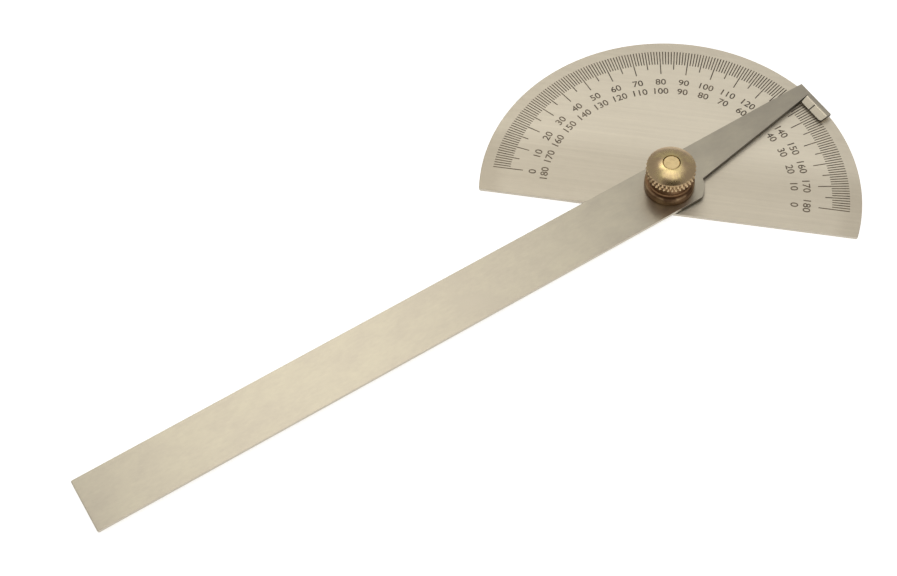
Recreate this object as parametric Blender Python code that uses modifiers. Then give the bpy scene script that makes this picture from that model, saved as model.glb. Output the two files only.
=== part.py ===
"""A swing-arm protractor: a graduated half-round head, a blade with a pointer, and a clamp at the pivot.

Lengths are metres and +Z is up. The origin is on the pivot axis at the back of the head. +X runs along
the scale's base line towards 180, and +Y points to 90. The blade stands at the angle where it is clamped.
"""

import math

import bmesh
import bpy
from mathutils import Matrix, Vector

MM = 0.001

# The head
PLATE_RADIUS = 45.0 * MM
PLATE_BELOW_CENTRE = 7.0 * MM
PLATE_THICKNESS = 0.8 * MM
PLATE_CORNER_ROUND = 0.5 * MM
PLATE_RIM_STEPS = 110

# The scale etched in the head
TICK_OUTER_RADIUS = 42.2 * MM
TICK_INNER_TENS = 35.0 * MM
TICK_INNER_FIVES = 36.5 * MM
TICK_INNER_ONES = 38.1 * MM
TICK_WIDTH = 0.28 * MM
TICK_DEPTH = 0.1 * MM
SCALE_DEGREES = 180

# The blade, with u along the pointer and v to its left, both from the pivot
ARM_ANGLE = math.radians(42.5)
ARM_THICKNESS = 0.8 * MM
BLADE_HALF_WIDTH = 7.0 * MM
BLADE_LENGTH = 152.4 * MM
BLADE_CORNER_ROUND = 0.4 * MM
HUB_RADIUS = 8.3 * MM
HUB_STEPS = 10
POINTER_EDGE_START = (7.5 * MM, -2.55 * MM)
POINTER_EDGE_END = (43.9 * MM, 3.55 * MM)
POINTER_SET_START = 10.0 * MM
POINTER_SET = math.radians(0.5)

# The foot at the pointer's end, whose tab is bent down over the ends of the scale lines
FOOT_OUTER = 44.6 * MM
FOOT_RIGHT = -4.3 * MM
TAB_INNER = 41.5 * MM
TAB_ROUND = 0.6 * MM
TAB_SLIT = 0.2 * MM
TAB_BEND_START = 43.9 * MM
TAB_BEND_LENGTH = 0.9 * MM
TAB_BEND = math.radians(18.0)
TAB_BEND_STEPS = 3
INDEX_WIDTH = 0.25 * MM
INDEX_DEPTH = 0.1 * MM

# The clamp at the pivot
WASHER_RADIUS = 5.5 * MM
WASHER_THICKNESS = 0.4 * MM
SCREW_RADIUS = 1.95 * MM
SCREW_END_CHAMFER = 0.25 * MM
SCREW_HEAD_RADIUS = 3.6 * MM
SCREW_HEAD_THICKNESS = 0.23 * MM
SCREW_NECK_SIDE = 3.9 * MM
ROUND_STEPS = 48

# The thumb nut, with heights from its base
NUT_HEIGHT = 9.05 * MM
NUT_MOUTH_RADIUS = 2.25 * MM
NUT_MOUTH_DEPTH = 0.25 * MM
NUT_BASE_CHAMFER = 0.35 * MM
FLANGE_RADIUS = 5.92 * MM
FLANGE_HEIGHT = 2.35 * MM
FLANGE_ROUND = 0.5 * MM
NECK_RADIUS = 4.9 * MM
NECK_ROUND = 0.4 * MM
KNURL_RADIUS = 5.88 * MM
KNURL_DEPTH = 0.32 * MM
KNURL_BOTTOM = 5.4 * MM
KNURL_TOP = 7.4 * MM
KNURL_COUNT = 36
KNURL_ROWS = 4
DOME_RADIUS = 10.6 * MM
DOME_RIM_RADIUS = 5.6 * MM
DOME_STEPS = 7

# What touches keeps this much apart
GAP = 0.05 * MM
BORE_CLEARANCE = 0.08 * MM
NECK_CLEARANCE = 0.05 * MM
RECESS_CLEARANCE = 0.1 * MM
WELD = 1e-6

# Heights of the stack, from the back of the head
PLATE_TOP = PLATE_THICKNESS
WASHER_BOTTOM = PLATE_TOP + GAP
WASHER_TOP = WASHER_BOTTOM + WASHER_THICKNESS
ARM_BOTTOM = WASHER_TOP + GAP
ARM_TOP = ARM_BOTTOM + ARM_THICKNESS
NUT_BASE = ARM_TOP + GAP
NUT_TOP = NUT_BASE + NUT_HEIGHT
HEAD_BOTTOM = GAP
HEAD_TOP = HEAD_BOTTOM + SCREW_HEAD_THICKNESS
RECESS_DEPTH = HEAD_TOP + GAP
NECK_TOP = WASHER_TOP - GAP / 2
BORE_RADIUS = SCREW_RADIUS + BORE_CLEARANCE


def clear_scene():
    """Empty the scene of the objects that it starts with."""
    for thing in list(bpy.data.objects):
        bpy.data.objects.remove(thing, do_unlink=True)


def new_collection(name):
    """Add a collection to the scene."""
    collection = bpy.data.collections.new(name)
    bpy.context.scene.collection.children.link(collection)
    return collection


def new_material(name, colour, roughness):
    """Make a metal finish."""
    material = bpy.data.materials.new(name)
    material.use_nodes = True
    shader = material.node_tree.nodes["Principled BSDF"]
    shader.inputs["Base Color"].default_value = (*colour, 1.0)
    shader.inputs["Roughness"].default_value = roughness
    shader.inputs["Metallic"].default_value = 1.0
    return material


def new_object(name, mesh, collection):
    """Put a mesh in the scene as a named object."""
    thing = bpy.data.objects.new(name, mesh)
    collection.objects.link(thing)
    return thing


def baked(thing):
    """Swap an object's curve or modifiers for the mesh that they make, welded and facing out."""
    bpy.context.view_layer.update()
    graph = bpy.context.evaluated_depsgraph_get()
    mesh = bpy.data.meshes.new_from_object(thing.evaluated_get(graph))
    shape = bmesh.new()
    shape.from_mesh(mesh)
    bmesh.ops.remove_doubles(shape, verts=shape.verts, dist=WELD)
    bmesh.ops.recalc_face_normals(shape, faces=shape.faces)
    shape.to_mesh(mesh)
    shape.free()
    name = thing.name
    matrix = thing.matrix_world.copy()
    collection = thing.users_collection[0]
    bpy.data.objects.remove(thing, do_unlink=True)
    solid = new_object(name, mesh, collection)
    solid.matrix_world = matrix
    return solid


def shade_round(thing):
    """Shade a round piece smooth, apart from its real edges."""
    thing.data.shade_smooth()
    thing.data.set_sharp_from_angle(angle=math.radians(35))


def arc(centre, radius, start, end, steps):
    """Points on an arc, both ends included."""
    angles = [start + (end - start) * i / steps for i in range(steps + 1)]
    return [(centre[0] + radius * math.cos(a), centre[1] + radius * math.sin(a)) for a in angles]


def circle(radius, steps):
    """Points round a circle about the pivot."""
    return arc((0.0, 0.0), radius, 0.0, math.tau * (steps - 1) / steps, steps - 1)


def square(side):
    """Corners of a square about the pivot."""
    half = side / 2
    return [(-half, -half), (half, -half), (half, half), (-half, half)]


def sheet(name, loops, bottom, thickness, collection):
    """Make a flat sheet from its outline and the outlines of its holes."""
    curve = bpy.data.curves.new(name, "CURVE")
    curve.dimensions = "2D"
    curve.fill_mode = "BOTH"
    curve.extrude = thickness / 2
    for loop in loops:
        spline = curve.splines.new("POLY")
        spline.points.add(len(loop) - 1)
        for point, (x, y) in zip(spline.points, loop):
            point.co = (x, y, 0.0, 1.0)
        spline.use_cyclic_u = True
    thing = new_object(name, curve, collection)
    thing.location.z = bottom + thickness / 2
    return baked(thing)


def turned(name, profile, steps, collection, closed):
    """Turn a profile of (radius, height) points about the pivot axis."""
    mesh = bpy.data.meshes.new(name)
    edges = [(i, i + 1) for i in range(len(profile) - 1)]
    if closed:
        edges.append((len(profile) - 1, 0))
    mesh.from_pydata([(r, 0.0, z) for r, z in profile], edges, [])
    thing = new_object(name, mesh, collection)
    screw = thing.modifiers.new("Turn", "SCREW")
    screw.steps = steps
    screw.render_steps = steps
    screw.use_merge_vertices = True
    screw.merge_threshold = WELD
    return baked(thing)


def join_boxes(name, boxes, collection):
    """Make one cutter out of boxes, each given as a matrix that places a unit cube."""
    shape = bmesh.new()
    for matrix in boxes:
        bmesh.ops.create_cube(shape, size=1.0, matrix=matrix)
    mesh = bpy.data.meshes.new(name)
    shape.to_mesh(mesh)
    shape.free()
    return as_cutter(new_object(name, mesh, collection))


def as_cutter(thing):
    """Mark an object as a cutter, which isn't a part."""
    thing.hide_render = True
    thing.display_type = "WIRE"
    return thing


def combine(thing, other, operation):
    """Cut an object with another, or join the other to it."""
    boolean = thing.modifiers.new(operation.title(), "BOOLEAN")
    boolean.operation = operation
    boolean.solver = "EXACT"
    boolean.object = other


def scale_boxes():
    """Place a box for each line of the scale, long at the tens, shorter at the fives and the ones."""
    boxes = []
    for degree in range(SCALE_DEGREES + 1):
        if degree % 10 == 0:
            inner = TICK_INNER_TENS
        elif degree % 5 == 0:
            inner = TICK_INNER_FIVES
        else:
            inner = TICK_INNER_ONES
        length = TICK_OUTER_RADIUS - inner
        turn = Matrix.Rotation(math.radians(SCALE_DEGREES - degree), 4, "Z")
        place = Matrix.Translation((inner + length / 2, 0.0, PLATE_TOP))
        boxes.append(turn @ place @ Matrix.Diagonal((length, TICK_WIDTH, 2 * TICK_DEPTH, 1.0)))
    return boxes


def plate_outline():
    """Outline of the head: a rim arc about the pivot, a straight base, and small rounds where they meet."""
    round_y = PLATE_CORNER_ROUND - PLATE_BELOW_CENTRE
    round_x = math.sqrt((PLATE_RADIUS - PLATE_CORNER_ROUND) ** 2 - round_y**2)
    rim_start = math.atan2(round_y, round_x)
    down = -math.pi / 2
    right = arc((round_x, round_y), PLATE_CORNER_ROUND, down, rim_start, 4)
    rim = arc((0.0, 0.0), PLATE_RADIUS, rim_start, math.pi - rim_start, PLATE_RIM_STEPS)
    left = [(-x, y) for x, y in reversed(right)]
    return right + rim[1:-1] + left


def make_plate(parts, cutters, steel):
    """The half-round head, with its scale, the square hole and the recess for the screw's head."""
    hole = square(SCREW_NECK_SIDE + 2 * NECK_CLEARANCE)
    plate = sheet("protractor_plate", [plate_outline(), hole], 0.0, PLATE_THICKNESS, parts)
    recess_loop = circle(SCREW_HEAD_RADIUS + RECESS_CLEARANCE, ROUND_STEPS)
    recess = sheet("recess_cutter", [recess_loop], -RECESS_DEPTH, 2 * RECESS_DEPTH, cutters)
    combine(plate, as_cutter(recess), "DIFFERENCE")
    combine(plate, join_boxes("scale_cutter", scale_boxes(), cutters), "DIFFERENCE")
    plate.data.materials.append(steel)


def make_washer(parts, steel):
    """The thin washer between head and blade, keyed to the screw's square neck."""
    loops = [circle(WASHER_RADIUS, ROUND_STEPS), square(SCREW_NECK_SIDE + 2 * NECK_CLEARANCE)]
    washer = sheet("friction_washer", loops, WASHER_BOTTOM, WASHER_THICKNESS, parts)
    washer.data.materials.append(steel)


def pointer_edge(u):
    """How far left the pointer's tapered edge is, at u."""
    (u0, v0), (u1, v1) = POINTER_EDGE_START, POINTER_EDGE_END
    return v0 + (v1 - v0) * (u - u0) / (u1 - u0)


def arm_outline():
    """Outline of the blade, hub, pointer and foot before the foot's tab is bent."""
    hub_start = -math.asin(BLADE_HALF_WIDTH / HUB_RADIUS)
    hub_end = math.atan2(POINTER_EDGE_START[1], POINTER_EDGE_START[0])
    hub = arc((0.0, 0.0), HUB_RADIUS, hub_start, hub_end, HUB_STEPS)
    slit = [
        (TAB_BEND_START, pointer_edge(TAB_BEND_START)),
        (TAB_BEND_START, pointer_edge(TAB_BEND_START) - TAB_SLIT),
    ]
    tab = [(TAB_INNER, pointer_edge(TAB_INNER) - TAB_SLIT)]
    corner = (TAB_INNER + TAB_ROUND, FOOT_RIGHT + TAB_ROUND)
    tab += arc(corner, TAB_ROUND, math.pi, 1.5 * math.pi, 4)
    far_end = [(FOOT_OUTER, FOOT_RIGHT), (FOOT_OUTER, BLADE_HALF_WIDTH)]
    corner_u = BLADE_CORNER_ROUND - BLADE_LENGTH
    corner_v = BLADE_HALF_WIDTH - BLADE_CORNER_ROUND
    blade = arc((corner_u, corner_v), BLADE_CORNER_ROUND, math.pi / 2, math.pi, 3)
    blade += arc((corner_u, -corner_v), BLADE_CORNER_ROUND, math.pi, 1.5 * math.pi, 3)
    return hub + slit + tab + far_end + blade


def bend_tab(point):
    """Roll a point of the tab down round the bend, then straight on at the bend's full angle."""
    along = TAB_BEND_START - point.x
    turn = TAB_BEND * min(along / TAB_BEND_LENGTH, 1.0)
    radius = TAB_BEND_LENGTH / TAB_BEND
    straight = max(along - TAB_BEND_LENGTH, 0.0)
    u = TAB_BEND_START - radius * math.sin(turn) - straight * math.cos(turn) - point.z * math.sin(turn)
    z = point.z * math.cos(turn) - radius * (1.0 - math.cos(turn)) - straight * math.sin(turn)
    return Vector((u, point.y, z))


def lift(point):
    """Raise a point of the pointer, which is set up a little so that its foot clears the scale."""
    rise = max(point.x - POINTER_SET_START, 0.0) * math.tan(POINTER_SET)
    return point + Vector((0.0, 0.0, rise))


def index_box():
    """Place the cut for the index line along the middle of the tab's straight stretch."""
    drop = Matrix.Rotation(-TAB_BEND, 4, "Y")
    middle = (TAB_BEND_START - TAB_BEND_LENGTH + TAB_INNER) / 2
    length = TAB_BEND_START - TAB_BEND_LENGTH - TAB_INNER
    top = lift(bend_tab(Vector((middle, 0.0, ARM_THICKNESS / 2))))
    size = Matrix.Diagonal((2 * length, INDEX_WIDTH, 2 * INDEX_DEPTH, 1.0))
    shift = Matrix.Translation((-length / 2, 0.0, 0.0))
    return Matrix.Translation(top) @ drop @ shift @ size


def make_arm(parts, cutters, steel):
    """The blade, hub, pointer and bent foot, one sheet that turns about the pivot."""
    loops = [arm_outline(), circle(BORE_RADIUS, ROUND_STEPS)]
    arm = sheet("blade_arm", loops, ARM_BOTTOM, ARM_THICKNESS, parts)
    shape = bmesh.new()
    shape.from_mesh(arm.data)
    bends = [TAB_BEND_START - TAB_BEND_LENGTH * i / TAB_BEND_STEPS for i in range(TAB_BEND_STEPS + 1)]
    for u in [POINTER_SET_START, *bends]:
        geometry = [*shape.verts, *shape.edges, *shape.faces]
        bmesh.ops.bisect_plane(shape, geom=geometry, dist=WELD, plane_co=(u, 0, 0), plane_no=(1, 0, 0))
    for vert in shape.verts:
        u, v, _ = vert.co
        if TAB_INNER - WELD < u < TAB_BEND_START and v < pointer_edge(u) - TAB_SLIT / 2:
            vert.co = bend_tab(vert.co)
        vert.co = lift(vert.co)
    bmesh.ops.triangulate(shape, faces=shape.faces)
    shape.to_mesh(arm.data)
    shape.free()
    index = join_boxes("index_cutter", [index_box()], cutters)
    index.parent = arm
    combine(arm, index, "DIFFERENCE")
    arm.rotation_euler.z = ARM_ANGLE
    arm.data.materials.append(steel)


def make_screw(parts, cutters, brass):
    """The clamp screw: a thin flush head, a square neck that keeps it from turning, and a plain shank."""
    profile = [
        (0.0, NUT_TOP),
        (SCREW_RADIUS - SCREW_END_CHAMFER, NUT_TOP),
        (SCREW_RADIUS, NUT_TOP - SCREW_END_CHAMFER),
        (SCREW_RADIUS, HEAD_TOP),
        (SCREW_HEAD_RADIUS, HEAD_TOP),
        (SCREW_HEAD_RADIUS, HEAD_BOTTOM),
        (0.0, HEAD_BOTTOM),
    ]
    screw = turned("clamp_screw", profile, ROUND_STEPS, parts, closed=False)
    height = NECK_TOP - HEAD_BOTTOM - SCREW_HEAD_THICKNESS / 2
    place = Matrix.Translation((0.0, 0.0, NECK_TOP - height / 2))
    size = Matrix.Diagonal((SCREW_NECK_SIDE, SCREW_NECK_SIDE, height, 1.0))
    combine(screw, join_boxes("neck_block", [place @ size], cutters), "UNION")
    screw.data.materials.append(brass)
    shade_round(screw)


def nut_profile():
    """Half section of the nut: dome, knurled band, neck, flange and bore, in that order."""
    mouth_on_sphere = math.sqrt(DOME_RADIUS**2 - NUT_MOUTH_RADIUS**2)
    points = []
    for i in range(DOME_STEPS + 1):
        r = NUT_MOUTH_RADIUS + (DOME_RIM_RADIUS - NUT_MOUTH_RADIUS) * i / DOME_STEPS
        points.append((r, NUT_HEIGHT - mouth_on_sphere + math.sqrt(DOME_RADIUS**2 - r**2)))
    for row in range(KNURL_ROWS + 1):
        points.append((KNURL_RADIUS, KNURL_TOP - (KNURL_TOP - KNURL_BOTTOM) * row / KNURL_ROWS))
    neck_top = KNURL_BOTTOM - (KNURL_RADIUS - KNURL_DEPTH - NECK_RADIUS)
    points.append((NECK_RADIUS, neck_top))
    hollow = (NECK_RADIUS + NECK_ROUND, FLANGE_HEIGHT + NECK_ROUND)
    points += arc(hollow, NECK_ROUND, math.pi, 1.5 * math.pi, 3)
    shoulder = (FLANGE_RADIUS - FLANGE_ROUND, FLANGE_HEIGHT - FLANGE_ROUND)
    points += arc(shoulder, FLANGE_ROUND, math.pi / 2, 0.0, 4)
    points.append((FLANGE_RADIUS, NUT_BASE_CHAMFER))
    points.append((FLANGE_RADIUS - NUT_BASE_CHAMFER, 0.0))
    points.append((BORE_RADIUS, 0.0))
    points.append((BORE_RADIUS, NUT_HEIGHT - NUT_MOUTH_DEPTH))
    return [(r, z + NUT_BASE) for r, z in points]


def cut_knurl(thing):
    """Press every second point of the knurled band in, so that crossing grooves leave small pyramids."""
    shape = bmesh.new()
    shape.from_mesh(thing.data)
    row_height = (KNURL_TOP - KNURL_BOTTOM) / KNURL_ROWS
    column = math.tau / (2 * KNURL_COUNT)
    low = NUT_BASE + KNURL_BOTTOM
    valleys = set()
    for vert in shape.verts:
        row = (vert.co.z - low) / row_height
        if vert.co.xy.length < DOME_RIM_RADIUS + WELD or not -0.01 < row < KNURL_ROWS + 0.01:
            continue
        if (round(row) + round(math.atan2(vert.co.y, vert.co.x) / column)) % 2:
            vert.co.xy *= 1.0 - KNURL_DEPTH / KNURL_RADIUS
            valleys.add(vert)
    for face in list(shape.faces):
        ends = [vert for vert in face.verts if vert in valleys]
        if len(face.verts) == 4 and len(ends) == 2 and not shape.edges.get(ends):
            bmesh.utils.face_split(face, *ends)
    shape.to_mesh(thing.data)
    shape.free()


def make_nut(parts, brass):
    """The knurled thumb nut, turned from bar, which screws down on the blade."""
    nut = turned("thumb_nut", nut_profile(), 2 * KNURL_COUNT, parts, closed=True)
    cut_knurl(nut)
    nut.data.materials.append(brass)
    shade_round(nut)


def main():
    clear_scene()
    parts = new_collection("swing_arm_protractor")
    cutters = new_collection("cutters")
    head_steel = new_material("head_steel", (0.56, 0.51, 0.42), 0.38)
    blade_steel = new_material("blade_steel", (0.60, 0.55, 0.45), 0.34)
    washer_steel = new_material("washer_steel", (0.42, 0.40, 0.37), 0.45)
    nut_brass = new_material("nut_brass", (0.52, 0.40, 0.20), 0.32)
    screw_brass = new_material("screw_brass", (0.66, 0.53, 0.30), 0.35)
    make_plate(parts, cutters, head_steel)
    make_washer(parts, washer_steel)
    make_arm(parts, cutters, blade_steel)
    make_screw(parts, cutters, screw_brass)
    make_nut(parts, nut_brass)


main()
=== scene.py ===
"""Looks of a swing-arm protractor: a half-round head with a scale, a blade with a pointer, and a brass clamp.

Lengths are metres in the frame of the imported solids. +Z is up out of the scale, and the pivot axis is at
x = y = 0. +X runs along the scale's base line towards 180, and +Y points to 90.
"""

import logging
import math
from collections.abc import Callable, Sequence
from dataclasses import dataclass
from enum import Enum
from typing import Any

import bmesh
import bpy
from mathutils import Matrix, Vector

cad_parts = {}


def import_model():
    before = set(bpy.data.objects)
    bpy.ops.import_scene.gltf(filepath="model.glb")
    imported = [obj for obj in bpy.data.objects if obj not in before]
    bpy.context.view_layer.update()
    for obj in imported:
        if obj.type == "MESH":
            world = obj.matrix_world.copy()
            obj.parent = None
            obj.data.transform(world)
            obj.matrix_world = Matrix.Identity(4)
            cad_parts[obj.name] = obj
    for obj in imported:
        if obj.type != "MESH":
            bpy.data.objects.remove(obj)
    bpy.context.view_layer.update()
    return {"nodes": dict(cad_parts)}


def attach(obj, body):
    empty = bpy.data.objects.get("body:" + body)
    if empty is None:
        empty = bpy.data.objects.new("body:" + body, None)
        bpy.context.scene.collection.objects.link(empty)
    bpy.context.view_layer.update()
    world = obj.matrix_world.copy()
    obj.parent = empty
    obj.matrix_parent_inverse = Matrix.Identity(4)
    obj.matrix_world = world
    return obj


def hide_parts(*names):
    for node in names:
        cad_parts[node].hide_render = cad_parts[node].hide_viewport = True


LOG = logging.getLogger("protractor")

MM = 0.001
# Angle from +X at which the blade is clamped.
CLAMPED_ANGLE = math.radians(42.5)
# Faces round a rod or a turned screw.
ROUND_STEPS = 64
# How far smooth normals lean to the large flats, where 50 is not at all and 100 is the most.
FLAT_WEIGHT = 100
# Points closer than this are one point.
WELD = 1e-6
# A face whose normal rises less than this is a wall.
WALL_SLOPE = 0.4
# The middle of a noise, which runs from 0 to 1.
HALF = 0.5
ORIGIN = (0.0, 0.0, 0.0)
UP = (0.0, 0.0, 1.0)
WHITE = (1.0, 1.0, 1.0)

Thing = bpy.types.Object
Colour = tuple[float, float, float]
Point = tuple[float, float, float]
# The two places between which something comes or goes.
Reach = tuple[float, float]


def mm(*lengths: float) -> tuple[float, ...]:
    """Give lengths in millimetres as metres."""
    return tuple(length * MM for length in lengths)


class Body(Enum):
    """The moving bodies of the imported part."""

    HEAD = "head"
    BLADE = "blade"
    NUT = "nut"
    SCREW = "screw"


class Pick(Enum):
    """What is selected in edit mode."""

    VERT = "VERT"
    EDGE = "EDGE"
    FACE = "FACE"


class Axis(Enum):
    """The axes of the part, by their place in a point."""

    X = 0
    Y = 1


class Zone(Enum):
    """The zones of a sheet that have a finish of their own, by the number of their material."""

    FACE = 0
    MARK = 1
    GROUND = 2
    # Walls darkened with painted shade where they hang over the scale.
    PUNCHED = 3


class Cut(Enum):
    """How one solid acts on another."""

    AWAY = "DIFFERENCE"
    JOIN = "UNION"


class Stain(Enum):
    """Colours laid on the brass: grime that is also painted shade, a brown that is painted shade alone, and
    polish that is also a painted highlight.
    """

    GRIME = (0.235, 0.128, 0.062)
    SOOT = (0.105, 0.056, 0.029)
    POLISH = (0.98, 0.84, 0.54)


def operator(operation: str, swapped: bool = False) -> Callable[["Wire", "Value"], "Wire"]:
    """Make the method of one operator of a wire.

    Args:
        operation: The Math node's operation.
        swapped: True for the reflected form, in which the wire comes second.

    Returns:
        The method, which adds a Math node.
    """

    def method(wire: "Wire", other: "Value") -> "Wire":
        """Add the Math node of this operator."""
        values = (other, wire) if swapped else (wire, other)
        return wire.shading.node("ShaderNodeMath", {"operation": operation}, dict(enumerate(values)))

    return method


class Wire:
    """One output of a shader node, on which sums are written as Python expressions."""

    __add__ = operator("ADD")
    __radd__ = operator("ADD", swapped=True)
    __sub__ = operator("SUBTRACT")
    __rsub__ = operator("SUBTRACT", swapped=True)
    __mul__ = operator("MULTIPLY")
    __rmul__ = operator("MULTIPLY", swapped=True)
    __truediv__ = operator("DIVIDE")
    __pow__ = operator("POWER")

    def __init__(self, shading: "Shading", socket: bpy.types.NodeSocket | None) -> None:
        """Keep the node maker and the socket."""
        self.shading = shading
        self.socket = socket


Value = float | Wire


class Shading:
    """A material or world under making, with one method that adds any node."""

    MIX_COLOURS = (6, 7)
    MIX_RESULT = 2

    def __init__(self, owner: bpy.types.Material | bpy.types.World) -> None:
        """Start on an emptied node tree.

        Args:
            owner: The material or world.
        """
        owner.use_nodes = True
        self.tree = owner.node_tree
        self.tree.nodes.clear()

    def node(
        self,
        kind: str,
        settings: dict[str, Any] | None = None,
        inputs: dict[int | str, Any] | None = None,
        output: int | str = 0,
    ) -> Wire:
        """Add a node, set it and link it.

        Args:
            kind: Blender's name of the node type.
            settings: The node's own settings.
            inputs: Values or wires, by the socket's name or number.
            output: The socket that the result stands for.

        Returns:
            The wire of that output.
        """
        made = self.tree.nodes.new(kind)
        for name, value in (settings or {}).items():
            setattr(made, name, value)
        for key, value in (inputs or {}).items():
            if isinstance(value, Wire):
                self.tree.links.new(value.socket, made.inputs[key])
            else:
                made.inputs[key].default_value = value
        return Wire(self, made.outputs[output] if made.outputs else None)

    def place(self) -> Wire:
        """The point on the piece, in the frame of the part."""
        return self.node("ShaderNodeTexCoord", output="Object")

    def past(self, value: Wire, reach: Reach) -> Wire:
        """A soft step from 0 at the first reach to 1 at the second."""
        inputs = {"Value": value, "From Min": reach[0], "From Max": reach[1]}
        return self.node("ShaderNodeMapRange", {"interpolation_type": "SMOOTHSTEP"}, inputs)

    def within(self, value: Wire, reach: Reach) -> Wire:
        """A soft step from 1 at the first reach to 0 at the second."""
        return 1.0 - self.past(value, reach)

    def tint(self, share: Value, first: Colour | Wire, second: Colour | Wire) -> Wire:
        """Mix two colours.

        Args:
            share: How much there is of the second colour, from 0 to 1.
            first: The colour at 0.
            second: The colour at 1.

        Returns:
            The mixed colour.
        """
        ends = [end if isinstance(end, Wire) else (*end, 1.0) for end in (first, second)]
        inputs = {0: share, **dict(zip(self.MIX_COLOURS, ends))}
        return self.node("ShaderNodeMix", {"data_type": "RGBA"}, inputs, self.MIX_RESULT)

    def compared(self, operation: str, first: Wire, second: Point) -> Wire:
        """The one number that a Vector Math node makes of two vectors."""
        return self.node("ShaderNodeVectorMath", {"operation": operation}, {0: first, 1: second}, 1)

    def joined(self, *numbers: Wire) -> Wire:
        """Make a vector of up to three numbers."""
        return self.node("ShaderNodeCombineXYZ", inputs=dict(enumerate(numbers)))

    def parts(self, vector: Wire) -> tuple[Wire, Wire, Wire]:
        """Split a vector into its three numbers."""
        split = self.node("ShaderNodeSeparateXYZ", inputs={0: vector})
        return tuple(Wire(self, socket) for socket in split.socket.node.outputs)

    def bump(self, height: Wire, strength: float, depth: float) -> Wire:
        """A normal that is bent by a height from 0 to 1."""
        return self.node("ShaderNodeBump", inputs={"Height": height, "Strength": strength, "Distance": depth})

    def surface(self, shader: Wire) -> None:
        """Send a shader to the material's surface."""
        self.node("ShaderNodeOutputMaterial", inputs={"Surface": shader})


@dataclass(frozen=True)
class Mottle:
    """A noise pattern: the size of its marks, how many finer layers it has, and how strong these are."""

    size: Point
    detail: float = 2.0
    rough: float = 0.5

    def share(self, shading: Shading, turn: float = 0.0, place: Wire | None = None) -> Wire:
        """Lay the pattern on a piece.

        Args:
            shading: The material under making.
            turn: Angle about Z from +X to the pattern's first axis.
            place: Where the pattern is read, or None for the point on the piece.

        Returns:
            Noise from 0 to 1.
        """
        inputs = {"Vector": place or shading.place(), "Rotation": (0.0, 0.0, turn), "Scale": self.size}
        spot = shading.node("ShaderNodeMapping", {"vector_type": "TEXTURE"}, inputs)
        inputs = {"Vector": spot, "Scale": 1.0, "Detail": self.detail, "Roughness": self.rough}
        return shading.node("ShaderNodeTexNoise", {"noise_dimensions": "3D"}, inputs)


@dataclass(frozen=True)
class Patch:
    """A round area that is brighter or duller, in full within the first reach and gone at the second."""

    centre: Point
    reach: Reach
    tone: float

    def share(self, shading: Shading) -> Wire:
        """How much the patch adds to the tone at a point."""
        away = shading.compared("DISTANCE", shading.place(), self.centre)
        return shading.within(away, self.reach) * self.tone


@dataclass(frozen=True)
class Fade:
    """A change of tone along one axis of the part, from none at the first reach to all at the second."""

    axis: Axis
    reach: Reach
    tone: float

    def share(self, shading: Shading) -> Wire:
        """How much the fade adds to the tone at a point."""
        return shading.past(shading.parts(shading.place())[self.axis.value], self.reach) * self.tone


@dataclass(frozen=True)
class Layer:
    """Dirt, polish, painted shade and painted highlight on a metal: its even and its patchy share, and what
    it adds to the roughness.
    """

    stain: Stain
    even: float
    patchy: float
    gloss: float


@dataclass(frozen=True)
class Scratch:
    """Fine scratches one way, which are the peaks of a noise pattern."""

    mottle: Mottle
    turn: float
    peak: Reach
    tone: float


@dataclass(frozen=True)
class Finish:
    """A named finish, which makes one material."""

    name: str

    def sockets(self, shading: Shading) -> dict[str, Any]:
        """Give the values of the shader's sockets, as each kind of finish has them."""
        raise NotImplementedError

    def material(self) -> bpy.types.Material:
        """Make the material.

        Returns:
            A new material with this finish.
        """
        material = bpy.data.materials.new(self.name)
        shading = Shading(material)
        shading.surface(shading.node("ShaderNodeBsdfPrincipled", inputs=self.sockets(shading)))
        return material


@dataclass(frozen=True)
class BrushedSheet(Finish):
    """Satin stainless sheet, brushed one way, with faint brush bands, soft clouds and flecks."""

    colour: Colour
    dull: Colour
    turn: float
    roughness: float
    grain: Mottle = Mottle(mm(20.0, 0.06, 20.0))
    grain_depth: float = 0.002 * MM
    band: Mottle = Mottle(mm(70.0, 0.9, 70.0), 4.0, 0.65)
    band_tone: float = 0.12
    band_gloss: float = 0.04
    cloud: Mottle = Mottle(mm(12.0, 8.0, 12.0), 3.0, 0.55)
    cloud_tone: float = 1.2
    cloud_gloss: float = 0.06
    fleck: Mottle = Mottle(mm(1.5, 0.6, 1.5), 3.0, 0.6)
    fleck_tone: float = 0.0
    tone: float = 0.4
    patches: tuple[Patch | Fade, ...] = ()

    def sockets(self, shading: Shading) -> dict[str, Any]:
        """Change tone and gloss along the brush lines and in soft clouds.

        Args:
            shading: The material under making.

        Returns:
            The shader's sockets.
        """
        grain = self.grain.share(shading, self.turn)
        bands = self.band.share(shading, self.turn) - HALF
        clouds = self.cloud.share(shading, self.turn) - HALF
        flecks = self.fleck.share(shading, self.turn) - HALF
        tone = bands * self.band_tone + clouds * self.cloud_tone + flecks * self.fleck_tone + self.tone
        # Patches add tone; on the head they are painted reflection and sheen.
        for patch in self.patches:
            tone = tone + patch.share(shading)
        return {
            "Base Color": shading.tint(tone, self.dull, self.colour),
            "Metallic": 1.0,
            "Roughness": bands * self.band_gloss + clouds * self.cloud_gloss + self.roughness,
            "Normal": shading.bump(grain, 1.0, self.grain_depth),
        }


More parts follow.
